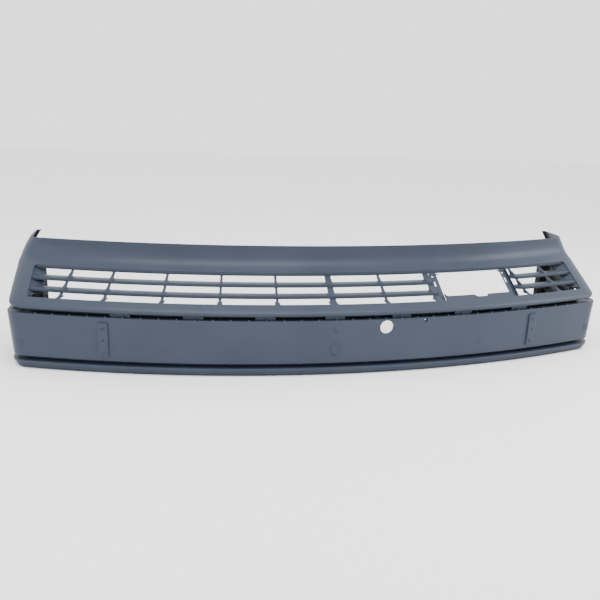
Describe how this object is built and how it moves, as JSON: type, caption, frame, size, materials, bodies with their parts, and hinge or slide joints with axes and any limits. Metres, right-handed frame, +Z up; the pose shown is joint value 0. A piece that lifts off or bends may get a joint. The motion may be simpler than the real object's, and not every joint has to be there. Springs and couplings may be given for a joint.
{
  "type": "bumper cover",
  "caption": "Long bowed bumper cover with a slatted valance, a flat strip carrier, a stepped lip, a towing-eye opening and short return wings.",
  "frame": {"origin": "centre of the box that the cover fills, on the floor under its lip", "axes": "+X along the cover to the viewer's right, front faces -Y, +Z up as the cover stands on its lip. A car carries it the other way up: turned half a turn about Y, so the lip is uppermost."},
  "size_m": [1.848, 0.459, 0.345],
  "materials": {
    "primer": "satin grey-blue primer",
    "primed_fixing": "satin primer over steel",
    "black_plastic": "grained black moulding",
    "zinc_steel": "zinc plated"
  },
  "bodies": {
    "root": {"bracket_bolts": "zinc_steel", "bracket_spacers": "zinc_steel", "bracket_stay_left": "zinc_steel", "bracket_stay_right": "zinc_steel", "bulge": "primer", "bulge_ledge": "primer", "carrier_lower_ledge": "primer", "carrier_top_ribs": "primer", "carrier_upper_ledge": "primer", "centre_boss": "primer", "centre_screws": "primed_fixing", "channel_bridge_1": "primer", "channel_bridge_2": "primer", "channel_bridge_3": "primer", "channel_bridge_4": "primer", "channel_bridge_5": "primer", "channel_bridge_6": "primer", "channel_bridge_7": "primer", "channel_liner": "black_plastic", "chin_panel": "primer", "chin_rim": "primer", "fixing_pad_left": "primer", "fixing_pad_right": "primer", "groove_ribs": "primer", "groove_web": "primer", "hole_plugs": "primer", "lip_base": "primer", "lip_shelf": "primer", "louvre_blade_lower_long": "primer", "louvre_blade_lower_short": "primer", "louvre_blade_upper_long": "primer", "louvre_blade_upper_short": "primer", "louvre_end_wall_left": "primer", "louvre_end_wall_right": "primer", "louvre_web_01": "primer", "louvre_web_02": "primer", "louvre_web_03": "primer", "louvre_web_04": "primer", "louvre_web_05": "primer", "louvre_web_06": "primer", "louvre_web_07": "primer", "louvre_web_08": "primer", "louvre_web_09": "primer", "louvre_web_10": "primer", "pad_screws": "primed_fixing", "square_lug": "primer", "stepped_lip": "primer", "strip_carrier": "primer", "tow_frame_left": "primer", "tow_frame_right": "primer", "tow_sill": "primer", "wing_bracket_left": "black_plastic", "wing_bracket_right": "black_plastic", "wing_left": "primer", "wing_right": "primer"}
  },
  "joints": []
}
